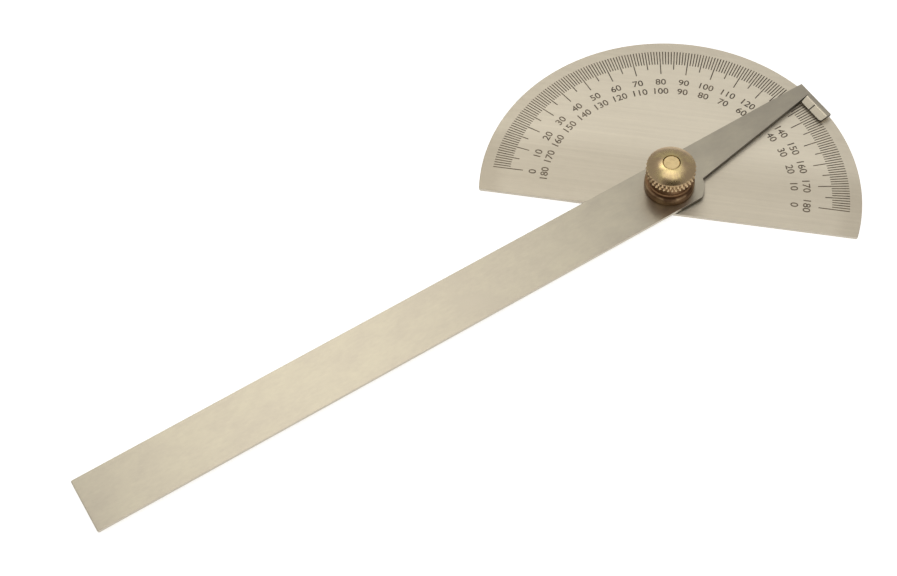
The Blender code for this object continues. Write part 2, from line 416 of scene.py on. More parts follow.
@dataclass(frozen=True)
class SheetEdge(Finish):
    """The narrow wall of a sheet, with fine upright grinding marks; a darker copy is painted shade on walls
    over the scale.
    """

    colour: Colour
    scored: Colour
    roughness: float
    mark: Mottle = Mottle(mm(0.12, 0.12, 2.5))
    mark_gloss: float = 0.2
    mark_strength: float = 0.5
    mark_depth: float = 0.01 * MM

    def sockets(self, shading: Shading) -> dict[str, Any]:
        """Score dull steel upright.

        Args:
            shading: The material under making.

        Returns:
            The shader's sockets.
        """
        marks = self.mark.share(shading)
        return {
            "Base Color": shading.tint(marks, self.scored, self.colour),
            "Metallic": 1.0,
            "Roughness": self.roughness + (marks - HALF) * self.mark_gloss,
            "Normal": shading.bump(marks, self.mark_strength, self.mark_depth),
        }


@dataclass(frozen=True)
class EtchedLine(Finish):
    """The dark floor of an etched line: a dull oxide, paler where it has rubbed."""

    colour: Colour = (0.085, 0.070, 0.053)
    worn: Colour = (0.190, 0.160, 0.125)
    patches: tuple[Patch, ...] = ()
    rub: Mottle = Mottle(mm(1.1111, 1.1111, 1.1111), 3.0)
    rub_reach: Reach = (0.42, 0.72)
    rub_gloss: float = 0.2
    metallic: float = 0.2
    roughness: float = 0.62

    def sockets(self, shading: Shading) -> dict[str, Any]:
        """Rub the oxide pale in spots and in the patches.

        Args:
            shading: The material under making.

        Returns:
            The shader's sockets.
        """
        rubbed = self.rub.share(shading)
        for patch in self.patches:
            rubbed = rubbed + patch.share(shading)
        return {
            "Base Color": shading.tint(shading.past(rubbed, self.rub_reach), self.colour, self.worn),
            "Metallic": self.metallic,
            "Roughness": self.roughness + (rubbed - HALF) * self.rub_gloss,
        }


@dataclass(frozen=True)
class TurnedBrass(Finish):
    """Brass turned on a lathe, brown to the rim: grime and painted shade in hollows, polish and painted
    highlight on crests.
    """

    colour: Colour = (0.71, 0.56, 0.262)
    tarnish: Colour = (0.47, 0.34, 0.20)
    roughness: float = 0.24
    lathe_gloss: float = 0.5
    ring: Mottle = Mottle(mm(0.11, 0.11, 1.0))
    ring_tone: float = 0.28
    ring_strength: float = 0.10
    ring_depth: float = 0.006 * MM
    spot: Mottle = Mottle(mm(2.381, 2.381, 2.381))
    spoke: Mottle = Mottle((0.11111, 0.11111, 4.0 * MM), 3.0, 0.6)
    rim: Reach = mm(1.2, 3.6)
    rim_tone: float = 0.30
    # Painted highlight: less tarnish in a patch on the dome's front, where the overhead softbox's reflection
    # lies.
    rubbed: Patch = Patch(mm(0.2, -3.0, 10.6), mm(2.2, 3.8), -0.17)
    # Painted light: less tarnish on the back of the dome, inside the knurl, so that side renders brighter.
    bright_back: Reach = mm(0.3, 2.6)
    bright_reach: Reach = mm(3.4, 5.2)
    bright_tone: float = -0.22
    dull: Reach = (0.35, 0.85)
    dull_gloss: float = 0.12
    wear: Mottle = Mottle(mm(3.0303, 3.0303, 3.0303))
    wear_reach: Reach = (0.36, 0.62)
    groove_bottom: Reach = mm(3.9, 4.2)
    groove_top: Reach = mm(8.8, 9.1)
    # Grime and painted shade: the neck groove under the knurl is darkened.
    neck: Reach = mm(4.9, 5.5)
    neck_dirt: Layer = Layer(Stain.GRIME, 0.5, 0.0, 0.25)
    # Grime and painted shade: the knurl's valleys are darkened, which sets off the crests.
    valley: Reach = mm(5.56, 5.72)
    valley_dirt: Layer = Layer(Stain.GRIME, 0.75, 0.0, 0.0)
    # Grime and painted shade: the nut is darker towards its base, at the flange by the blade.
    flange: Reach = mm(3.5, 5.6)
    flange_dirt: Layer = Layer(Stain.GRIME, 0.36, 0.5, 0.2)
    # Painted shade: a dark brown on the flange's top ledge under the knurl's overhang, weaker towards the
    # left lamp.
    shelf_bottom: Reach = mm(3.4, 4.0)
    shelf_top: Reach = mm(4.6, 5.0)
    shelf_side: Reach = mm(5.05, 5.35)
    clean_side: Reach = mm(-4.4, -1.6)
    clean_share: float = 0.15
    shelf_dirt: Layer = Layer(Stain.SOOT, 0.35, 0.5, 0.42)
    # Polish and painted highlight: the knurl's crests are made brighter than the brass.
    crest: Reach = mm(5.78, 5.88)
    knurl: Reach = mm(6.4, 7.2)
    crest_wear: Layer = Layer(Stain.POLISH, 1.0, 0.0, 0.2)

    def sockets(self, shading: Shading) -> dict[str, Any]:
        """Lay fine rings about the pivot axis, tarnish with painted light on the dome, then grime, polish,
        painted shade and painted highlight.

        Args:
            shading: The material under making.

        Returns:
            The shader's sockets.
        """
        x, y, height = shading.parts(shading.place())
        radius = (x * x + y * y) ** 0.5
        rings = self.ring.share(shading, place=shading.joined(radius, height))
        spokes = self.spoke.share(shading, place=shading.joined(x / radius, y / radius, radius))
        # Less tarnish here is painted light: on the dome's back, and on its front through the paler area.
        bright = shading.past(y, self.bright_back) * shading.within(radius, self.bright_reach)
        dull = HALF * (self.spot.share(shading) + spokes) + (rings - HALF) * self.ring_tone
        dull = dull + shading.past(radius, self.rim) * self.rim_tone + bright * self.bright_tone
        dull = shading.past(dull + self.rubbed.share(shading), self.dull)
        worn = shading.past(self.wear.share(shading), self.wear_reach)
        groove = shading.past(height, self.groove_bottom) * shading.within(height, self.groove_top)
        # Painted shade on the flange's top ledge, fading out on the left, lit side.
        shelf_shade = shading.past(height, self.shelf_bottom) * shading.within(height, self.shelf_top)
        shelf_shade = shelf_shade * shading.past(radius, self.shelf_side)
        shelf_shade = shelf_shade * (shading.past(x, self.clean_side) * (1.0 - self.clean_share) + self.clean_share)
        # Grime with painted shade, painted shade alone, and polish with painted highlight, laid over the
        # tarnish in turn.
        layers = (
            (self.neck_dirt, groove * shading.within(radius, self.neck)),
            (self.valley_dirt, groove * shading.within(radius, self.valley)),
            (self.flange_dirt, shading.within(height, self.flange)),
            (self.shelf_dirt, shelf_shade),
            (self.crest_wear, groove * shading.past(radius, self.crest) * shading.past(height, self.knurl)),
        )
        tone = shading.tint(dull, self.colour, self.tarnish)
        rough = self.roughness + (dull - HALF) * self.dull_gloss
        for layer, area in layers:
            share = area * (worn * layer.patchy + layer.even)
            tone = shading.tint(share, tone, layer.stain.value)
            rough = rough + share * layer.gloss
        return {
            "Base Color": tone,
            "Metallic": 1.0,
            "Roughness": rough,
            "Anisotropic": self.lathe_gloss,
            "Normal": shading.bump(rings, self.ring_strength, self.ring_depth),
        }


@dataclass(frozen=True)
class FacedBrass(Finish):
    """The end of a brass screw, faced off, pale, and finely scratched two ways."""

    colour: Colour = (0.84, 0.645, 0.335)
    tarnish: Colour = (0.58, 0.42, 0.20)
    roughness: float = 0.36
    scratches: tuple[Scratch, ...] = (
        Scratch(Mottle(mm(1.6, 0.07, 1.6)), math.radians(24), (0.5, 0.72), 0.6),
        Scratch(Mottle(mm(1.2, 0.10, 1.2)), math.radians(-38), (0.55, 0.75), 0.4),
    )
    scratch_tone: float = 0.4
    scratch_gloss: float = 0.15
    scratch_mean: float = 0.3
    scratch_strength: float = 0.25
    scratch_depth: float = 0.008 * MM
    spot: Mottle = Mottle(mm(1.4286, 1.4286, 1.4286), 3.0)
    dull: Reach = (0.45, 1.0)

    def sockets(self, shading: Shading) -> dict[str, Any]:
        """Scratch the pale brass and let it tarnish in spots.

        Args:
            shading: The material under making.

        Returns:
            The shader's sockets.
        """
        marks = sum(
            shading.past(scratch.mottle.share(shading, scratch.turn), scratch.peak) * scratch.tone
            for scratch in self.scratches
        )
        dull = shading.past(self.spot.share(shading) + marks * self.scratch_tone, self.dull)
        return {
            "Base Color": shading.tint(dull, self.colour, self.tarnish),
            "Metallic": 1.0,
            "Roughness": self.roughness + (marks - self.scratch_mean) * self.scratch_gloss,
            "Normal": shading.bump(marks, self.scratch_strength, self.scratch_depth),
        }


def deselect() -> None:
    """Leave edit mode and select nothing."""
    if bpy.context.object and bpy.context.object.mode != "OBJECT":
        bpy.ops.object.mode_set(mode="OBJECT")
    bpy.ops.object.select_all(action="DESELECT")


def hold(thing: Thing) -> None:
    """Select one object and make it active.

    Args:
        thing: The object.
    """
    deselect()
    thing.select_set(True)
    bpy.context.view_layer.objects.active = thing


def open_mesh(thing: Thing) -> None:
    """Open one object in edit mode."""
    hold(thing)
    bpy.ops.object.mode_set(mode="EDIT")


def named(name: str) -> Thing:
    """Name the object that was just added, and its mesh.

    Args:
        name: The piece's name.

    Returns:
        The object.
    """
    thing = bpy.context.object
    thing.name = name
    thing.data.name = name
    return thing


def pick(thing: Thing, kind: Pick, test: Callable[[Any], bool]) -> None:
    """Select the vertices, edges or faces that pass a test, in edit mode.

    Args:
        thing: The object that is open in edit mode.
        kind: What is selected.
        test: True for an element that is wanted.
    """
    bpy.ops.mesh.select_mode(type=kind.value)
    bpy.ops.mesh.select_all(action="DESELECT")
    shape = bmesh.from_edit_mesh(thing.data)
    groups = {Pick.VERT: shape.verts, Pick.EDGE: shape.edges, Pick.FACE: shape.faces}
    for element in groups[kind]:
        if test(element):
            element.select_set(True)
    shape.select_flush_mode()
    bmesh.update_edit_mesh(thing.data)


def select_mesh() -> None:
    """Select the whole mesh in edit mode."""
    bpy.ops.mesh.select_all(action="SELECT")


def pull(step: Sequence[float]) -> None:
    """Extrude what is selected by a step."""
    bpy.ops.mesh.extrude_region_move(TRANSFORM_OT_translate={"value": tuple(step)})


def tidy_shell() -> None:
    """Merge doubles and turn all faces outwards, in edit mode."""
    select_mesh()
    bpy.ops.mesh.remove_doubles(threshold=WELD)
    bpy.ops.mesh.normals_make_consistent(inside=False)


def cut(thing: Thing, tool: Thing, how: Cut, crossing: bool = False) -> None:
    """Cut one solid with another, or join them, and remove the tool.

    Args:
        thing: The solid that stays.
        tool: The solid that is used up.
        how: Whether the tool is taken away or joined.
        crossing: True if the tool's own faces cross each other.
    """
    hold(thing)
    boolean = thing.modifiers.new(how.name, "BOOLEAN")
    boolean.operation = how.value
    boolean.solver = "EXACT"
    boolean.use_self = crossing
    boolean.object = tool
    bpy.ops.object.modifier_apply(modifier=boolean.name)
    bpy.data.objects.remove(tool, do_unlink=True)


def smooth(thing: Thing, degrees: float) -> None:
    """Shade round faces smooth, with normals that follow the large flats.

    Args:
        thing: The finished piece.
        degrees: Edges that turn more than this stay sharp.
    """
    open_mesh(thing)
    tidy_shell()
    bpy.ops.mesh.quads_convert_to_tris(quad_method="BEAUTY", ngon_method="BEAUTY")
    hold(thing)
    bpy.ops.object.shade_smooth_by_angle(angle=math.radians(degrees))
    weighted = thing.modifiers.new("Weighted", "WEIGHTED_NORMAL")
    weighted.keep_sharp = True
    weighted.weight = FLAT_WEIGHT
    bpy.ops.object.modifier_apply(modifier=weighted.name)


def round_edges(thing: Thing, size: float, segments: int, degrees: float) -> None:
    """Round the sharp edges of a solid, in edit mode.

    Args:
        thing: The object that is open in edit mode.
        size: Width of the round.
        segments: Faces across the round.
        degrees: An edge that turns more than this is sharp.
    """
    limit = math.radians(degrees)
    pick(thing, Pick.EDGE, lambda edge: edge.is_manifold and edge.calc_face_angle() > limit)
    bpy.ops.mesh.bevel(offset=size, segments=segments, affect="EDGES", clamp_overlap=True)


class Pen:
    """Draws an outline by pulling one vertex along, in edit mode."""

    def __init__(self, name: str, start: Point) -> None:
        """Put a single vertex at the start.

        Args:
            name: Name of the object.
            start: Where the outline starts.
        """
        deselect()
        bpy.ops.mesh.primitive_plane_add(size=MM)
        self.thing = named(name)
        open_mesh(self.thing)
        bpy.ops.mesh.select_mode(type="VERT")
        select_mesh()
        bpy.ops.mesh.merge(type="CENTER")
        bpy.ops.transform.translate(value=start)
        self.at = Vector(start)

    def line(self, *points: Point) -> None:
        """Pull the vertex on in straight lines.

        Args:
            points: Where it goes, one after the other.
        """
        for point in points:
            pull(Vector(point) - self.at)
            self.at = Vector(point)

    def arc(self, centre: Point, degrees: float, steps: int, axis: Point = UP) -> None:
        """Turn the vertex about a centre, counterclockwise about the axis.

        Args:
            centre: Centre of the arc.
            degrees: How far the vertex turns.
            steps: Edges along the arc.
            axis: Axis of the turn.
        """
        angle = math.radians(degrees)
        bpy.ops.mesh.spin(steps=steps, angle=-angle, center=centre, axis=axis)
        turn = Matrix.Rotation(angle, 3, Vector(axis))
        self.at = Vector(centre) + turn @ (self.at - Vector(centre))

    def close_sheet(self, bottom: float, thickness: float) -> Thing:
        """Fill the outline and give it a thickness.

        Args:
            bottom: Height of the sheet's underside.
            thickness: Thickness of the sheet.

        Returns:
            The sheet, still in edit mode.
        """
        select_mesh()
        bpy.ops.mesh.remove_doubles(threshold=WELD)
        bpy.ops.mesh.edge_face_add()
        bpy.ops.transform.translate(value=(0.0, 0.0, bottom))
        pull((0.0, 0.0, thickness))
        tidy_shell()
        return self.thing

    def close_turning(self, steps: int) -> Thing:
        """Spin a half section about the pivot axis.

        Args:
            steps: Faces round the piece.

        Returns:
            The turned solid, still in edit mode.
        """
        select_mesh()
        bpy.ops.mesh.spin(steps=steps, angle=math.tau, center=ORIGIN, axis=UP)
        tidy_shell()
        return self.thing


@dataclass
class Stack:
    """Heights of the pieces on the pivot, from the back of the head."""

    plate_top: float = 0.8 * MM
    washer_top: float = 1.25 * MM
    arm_bottom: float = 1.3 * MM
    arm_thickness: float = 0.8 * MM
    nut_base: float = 2.15 * MM
    nut_top: float = 11.2 * MM
    neck_side: float = 3.9 * MM
    neck_hole: float = 4.0 * MM
    bore_radius: float = 2.03 * MM


@dataclass
class ScaleHead:
    """The half-round head: one sheet with the scale etched in it."""

    stack: Stack
    steel: BrushedSheet
    etch: EtchedLine
    ground: SheetEdge
    radius: float = 45.0 * MM
    below_centre: float = 7.0 * MM
    corner_round: float = 0.5 * MM
    corner_steps: int = 5
    edge_round: float = 0.09 * MM
    edge_steps: int = 3
    edge_angle: float = 60.0
    smooth_angle: float = 35.0
    rim_steps: int = 200
    recess_radius: float = 3.7 * MM
    recess_depth: float = 0.33 * MM
    scale_end: int = 180
    scale_inner: float = 10.0 * MM
    scale_margin: float = 0.2 * MM
    base_margin: float = 1.0 * MM
    tick_outer: float = 42.2 * MM
    tick_inner: tuple[tuple[int, float], ...] = ((10, 35.0 * MM), (5, 36.5 * MM), (1, 38.1 * MM))
    tick_width: float = 0.26 * MM
    etch_depth: float = 0.1 * MM
    etched: Reach = mm(0.005, 0.15)
    number_every: int = 10
    number_rows: tuple[float, float] = mm(32.5, 29.6)
    number_depth: float = 0.08 * MM
    number_curve: int = 4
    number_height: float = 1.74 * MM
    number_weight: float = 0.03 * MM
    number_width: float = 1.08
    number_shift: float = -0.2 * MM

    def sheet(self) -> Thing:
        """Draw the outline and raise it to a sheet with rounded edges.

        Returns:
            The bare head.
        """
        round_y = self.corner_round - self.below_centre
        round_x = math.sqrt((self.radius - self.corner_round) ** 2 - round_y**2)
        rim_start = math.degrees(math.atan2(round_y, round_x))
        pen = Pen("protractor_plate_dressed", (round_x, -self.below_centre, 0.0))
        pen.arc((round_x, round_y, 0.0), 90.0 + rim_start, self.corner_steps)
        pen.arc(ORIGIN, 180.0 - 2.0 * rim_start, self.rim_steps)
        pen.arc((-round_x, round_y, 0.0), 90.0 + rim_start, self.corner_steps)
        plate = pen.close_sheet(0.0, self.stack.plate_top)
        round_edges(plate, self.edge_round, self.edge_steps, self.edge_angle)
        return plate

    def pierce(self, plate: Thing) -> None:
        """Cut the square hole and the recess for the screw's head.

        Args:
            plate: The bare head.
        """
        deselect()
        bpy.ops.mesh.primitive_cube_add(size=self.stack.neck_hole, location=ORIGIN)
        cut(plate, named("square_hole"), Cut.AWAY)
        deselect()
        recess = {"radius": self.recess_radius, "depth": 2 * self.recess_depth}
        bpy.ops.mesh.primitive_cylinder_add(vertices=ROUND_STEPS, **recess)
        cut(plate, named("recess"), Cut.AWAY)

    def tick_tool(self) -> Thing:
        """Place a bar for each degree, long at the tens, shorter at the fives and the ones.

        Returns:
            One tool that cuts all the lines.
        """
        deselect()
        for degree in range(self.scale_end + 1):
            inner = next(radius for every, radius in self.tick_inner if degree % every == 0)
            length = self.tick_outer - inner
            turn = math.radians(self.scale_end - degree)
            middle = Vector((math.cos(turn), math.sin(turn), 0.0)) * (inner + length / 2)
            middle.z = self.stack.plate_top
            bar = {"rotation": (0.0, 0.0, turn), "scale": (length, self.tick_width, 2 * self.etch_depth)}
            bpy.ops.mesh.primitive_cube_add(size=1.0, location=middle, **bar)
            if degree == 0:
                tool = named("tick_tool")
                bpy.ops.object.transform_apply(location=True, rotation=True, scale=True)
                open_mesh(tool)
        deselect()
        return tool

    def number(self, text: str, degree: float, row: float) -> Thing:
        """Make one number as a flat mesh at its place, its top away from the pivot.

        Args:
            text: The digits.
            degree: Where it stands on the scale.
            row: Distance of its middle from the pivot.

        Returns:
            The flat number.
        """
        deselect()
        bpy.ops.object.text_add()
        digits = named("number")
        digits.data.body = text
        digits.data.resolution_u = self.number_curve
        bpy.ops.object.convert(target="MESH")
        digits = bpy.context.object
        xs = [vert.co.x for vert in digits.data.vertices]
        ys = [vert.co.y for vert in digits.data.vertices]
        scale = self.number_height / (max(ys) - min(ys))
        centre = Vector(((max(xs) + min(xs)) / 2, (max(ys) + min(ys)) / 2, 0.0))
        turn = math.radians(self.scale_end - degree)
        floor = self.stack.plate_top - self.number_depth + self.number_weight
        spot = Vector((math.cos(turn) * row + self.number_shift, math.sin(turn) * row, floor))
        place = Matrix.Translation(spot) @ Matrix.Rotation(turn - math.pi / 2, 4, "Z")
        size = Matrix.Diagonal((scale * self.number_width, scale, scale, 1.0))
        digits.data.transform(place @ size @ Matrix.Translation(-centre))
        return digits

    def number_tool(self) -> Thing:
        """Make every number of both rows as one tool.

        Returns:
            The tool, which stands through the sheet's upper face.
        """
        outer, inner = self.number_rows
        made = []
        for degree in range(0, self.scale_end + 1, self.number_every):
            made.append(self.number(str(degree), degree, outer))
            made.append(self.number(str(self.scale_end - degree), degree, inner))
        deselect()
        for digits in made:
            digits.select_set(True)
        bpy.context.view_layer.objects.active = made[0]
        bpy.ops.object.join()
        tool = named("number_tool")
        open_mesh(tool)
        select_mesh()
        bpy.ops.mesh.remove_doubles(threshold=WELD)
        pull((0.0, 0.0, 2 * self.etch_depth))
        tidy_shell()
        bpy.ops.transform.shrink_fatten(value=self.number_weight, use_even_offset=True)
        deselect()
        return tool

    def dress(self, plate: Thing) -> None:
        """Give the sheet its brushed steel, the etched marks their oxide and the walls their ground finish.

        Args:
            plate: The finished mesh.
        """
        for finish in (self.steel, self.etch, self.ground):
            plate.data.materials.append(finish.material())
        shallow, deep = self.etched
        for face in plate.data.polygons:
            centre = face.center
            on_scale = self.scale_inner < centre.xy.length < self.tick_outer + self.scale_margin
            sunk = shallow < self.stack.plate_top - centre.z < deep
            above_base = centre.y > self.base_margin - self.below_centre
            wall = Zone.GROUND if abs(face.normal.z) < WALL_SLOPE else Zone.FACE
            zone = Zone.MARK if on_scale and sunk and above_base else wall
            face.material_index = zone.value

    def build(self) -> Thing:
        """Make the whole head.

        Returns:
            The finished piece.
        """
        plate = self.sheet()
        self.pierce(plate)
        cut(plate, self.tick_tool(), Cut.AWAY)
        cut(plate, self.number_tool(), Cut.AWAY, crossing=True)
        smooth(plate, self.smooth_angle)
        self.dress(plate)
        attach(plate, Body.HEAD.value)
        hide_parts("protractor_plate")
        return plate


@dataclass
class SwingBlade:
    """The blade, hub, pointer and bent foot: one sheet that turns on the pivot.

    The outline is in u along the pointer and v to its left, and is turned to the clamped angle at the end.
    """

    stack: Stack
    steel: BrushedSheet
    etch: EtchedLine
    ground: SheetEdge
    # A darker edge finish, painted shade for the walls that hang over the scale.
    punched: SheetEdge
    angle: float = CLAMPED_ANGLE
    half_width: float = 7.0 * MM
    length: float = 152.4 * MM
    corner_round: float = 0.43 * MM
    corner_steps: int = 4
    edge_round: float = 0.05 * MM
    edge_steps: int = 2
    edge_angle: float = 50.0
    smooth_angle: float = 35.0
    bore_length: float = 4.0 * MM
    hub_radius: float = 8.3 * MM
    hub_steps: int = 16
    edge_start: tuple[float, float] = mm(7.5, -2.55)
    edge_end: tuple[float, float] = mm(43.9, 3.55)
    # Walls past this u get the painted shade finish.
    punched_from: float = -1.5 * MM
    set_start: float = 10.0 * MM
    set_angle: float = math.radians(0.5)
    foot_inner: float = 40.0 * MM
    foot_outer: float = 44.6 * MM
    foot_right: float = -4.3 * MM
    slit: float = 0.12 * MM
    bend_lead: float = 0.3 * MM
    bend_length: float = 0.3 * MM
    bend_angle: float = math.radians(19.5)
    bend_steps: int = 4
    tab_straight: float = 1.8 * MM
    tab_round: float = 0.6 * MM
    tab_steps: int = 6
    index_width: float = 0.32 * MM
    index_margin: float = 0.01 * MM
    index_depth: float = 0.1 * MM

    @property
    def taper(self) -> float:
        """How far the pointer's right edge goes left for each unit along it."""
        (u0, v0), (u1, v1) = self.edge_start, self.edge_end
        return (v1 - v0) / (u1 - u0)

    @property
    def middle(self) -> float:
        """Height of the sheet's middle."""
        return self.stack.arm_bottom + self.stack.arm_thickness / 2

    def sheet(self) -> Thing:
        """Draw the outline without the tab and give it its thickness.

        Returns:
            The flat sheet, in edit mode.
        """
        hub_start = math.asin(self.half_width / self.hub_radius)
        hub_end = math.atan2(self.edge_start[1], self.edge_start[0])
        bend_u, slit_v = self.edge_end
        corner_u = self.corner_round - self.length
        corner_v = self.half_width - self.corner_round
        pen = Pen("blade_arm_dressed", (self.hub_radius * math.cos(hub_start), -self.half_width, 0.0))
        pen.arc(ORIGIN, math.degrees(hub_start + hub_end), self.hub_steps)
        pen.line(
            (bend_u, slit_v, 0.0),
            (bend_u, slit_v - self.slit, 0.0),
            (bend_u, self.foot_right, 0.0),
            (self.foot_outer, self.foot_right, 0.0),
            (self.foot_outer, self.half_width, 0.0),
            (corner_u, self.half_width, 0.0),
        )
        pen.arc((corner_u, corner_v, 0.0), 90.0, self.corner_steps)
        pen.line((-self.length, -corner_v, 0.0))
        pen.arc((corner_u, -corner_v, 0.0), 90.0, self.corner_steps)
        return pen.close_sheet(self.stack.arm_bottom, self.stack.arm_thickness)

    def bend_tab(self, arm: Thing) -> None:
        """Pull the tab out of the foot, down round a bend and straight on, and round its corner.

        Args:
            arm: The sheet, in edit mode.
        """
        bend_u, slit_v = self.edge_end

        def foot_wall(face: bmesh.types.BMFace) -> bool:
            """True for the wall that the tab grows from."""
            centre, wall = face.calc_center_median(), abs(face.normal.z) < WALL_SLOPE
            return wall and abs(centre.x - bend_u) < WELD and centre.y < slit_v - self.slit

        pick(arm, Pick.FACE, foot_wall)
        pull((-self.bend_lead, 0.0, 0.0))
        radius = self.bend_length / self.bend_angle
        centre = (bend_u - self.bend_lead, 0.0, self.middle - radius)
        bpy.ops.mesh.spin(steps=self.bend_steps, angle=self.bend_angle, center=centre, axis=(0.0, 1.0, 0.0))
        out = Vector((-math.cos(self.bend_angle), 0.0, -math.sin(self.bend_angle)))
        pull(out * self.tab_straight)
        tidy_shell()
        shape = bmesh.from_edit_mesh(arm.data)
        for vert in shape.verts:
            on_tab = self.foot_inner < vert.co.x < bend_u - WELD
            if on_tab and self.foot_right < vert.co.y - WELD < slit_v - self.slit:
                vert.co.y -= self.taper * (bend_u - vert.co.x)
        bmesh.update_edit_mesh(arm.data)

        def inner_corner(edge: bmesh.types.BMEdge) -> bool:
            """Find the upright edge at the tab's free right corner.

            Args:
                edge: Any edge of the sheet.

            Returns:
                True for that edge.
            """
            one, two = (vert.co for vert in edge.verts)
            spot = (one + two) / 2
            upright = abs(one.z - two.z) > self.stack.arm_thickness / 2
            at_right = abs(spot.y - self.foot_right) < WELD
            return upright and at_right and self.foot_inner < spot.x < bend_u - self.tab_straight

        pick(arm, Pick.EDGE, inner_corner)
        bpy.ops.mesh.bevel(offset=self.tab_round, segments=self.tab_steps, affect="EDGES")

    def lift_pointer(self, arm: Thing) -> None:
        """Set the pointer up a little, so that its foot clears the scale.

        Args:
            arm: The sheet, in edit mode.
        """
        for split in (self.punched_from, self.set_start):
            select_mesh()
            bpy.ops.mesh.bisect(plane_co=(split, 0.0, 0.0), plane_no=(1.0, 0.0, 0.0))
        pick(arm, Pick.VERT, lambda vert: vert.co.x > self.set_start + WELD)
        pivot = (self.set_start, 0.0, self.stack.arm_bottom)
        bpy.ops.transform.rotate(value=self.set_angle, orient_axis="Y", center_override=pivot)

    def index_tool(self) -> Thing:
        """Place the bar that cuts the index line along the middle of the tab.

        Returns:
            The tool.
        """
        deselect()
        radius = self.bend_length / self.bend_angle
        half = self.stack.arm_thickness / 2
        out = self.tab_straight / 2
        sine, cosine = math.sin(self.bend_angle), math.cos(self.bend_angle)
        u = self.edge_end[0] - self.bend_lead - (radius + half) * sine - out * cosine
        z = self.middle + half * cosine - radius * (1.0 - cosine) - out * sine
        z += (u - self.set_start) * math.tan(self.set_angle)
        spot = (u - out * cosine, 0.0, z - out * sine)
        scale = (2 * self.tab_straight, self.index_width, 2 * self.index_depth)
        bar = {"rotation": (0.0, -self.bend_angle, 0.0), "scale": scale}
        bpy.ops.mesh.primitive_cube_add(size=1.0, location=spot, **bar)
        return named("index_tool")

    def dress(self, arm: Thing) -> None:
        """Give the sheet its brushed steel, the index line its oxide, the walls their ground finish and
        painted shade over the scale.

        Args:
            arm: The finished mesh, before it is turned.
        """
        for finish in (self.steel, self.etch, self.ground, self.punched):
            arm.data.materials.append(finish.material())
        reach = self.index_width / 2 + self.index_margin
        for face in arm.data.polygons:
            corners = [arm.data.vertices[index].co for index in face.vertices]
            in_line = all(abs(co.y) < reach and self.foot_inner < co.x < self.edge_end[0] for co in corners)
            # Walls over the scale are painted dark for the shade under the blade.
            edge = Zone.PUNCHED if face.center.x > self.punched_from else Zone.GROUND
            wall = edge if abs(face.normal.z) < WALL_SLOPE else Zone.FACE
            zone = Zone.MARK if in_line else wall
            face.material_index = zone.value

    def build(self) -> Thing:
        """Make the whole blade.

        Returns:
            The finished piece.
        """
        arm = self.sheet()
        self.bend_tab(arm)
        round_edges(arm, self.edge_round, self.edge_steps, self.edge_angle)
        self.lift_pointer(arm)
        deselect()
        bore = {"radius": self.stack.bore_radius, "depth": self.bore_length}
        bpy.ops.mesh.primitive_cylinder_add(vertices=ROUND_STEPS, location=(0.0, 0.0, self.middle), **bore)
        cut(arm, named("bore_tool"), Cut.AWAY)
        cut(arm, self.index_tool(), Cut.AWAY)
        smooth(arm, self.smooth_angle)
        self.dress(arm)
        hold(arm)
        arm.rotation_euler.z = self.angle
        bpy.ops.object.transform_apply(location=True, rotation=True, scale=True)
        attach(arm, Body.BLADE.value)
        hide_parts("blade_arm")
        return arm


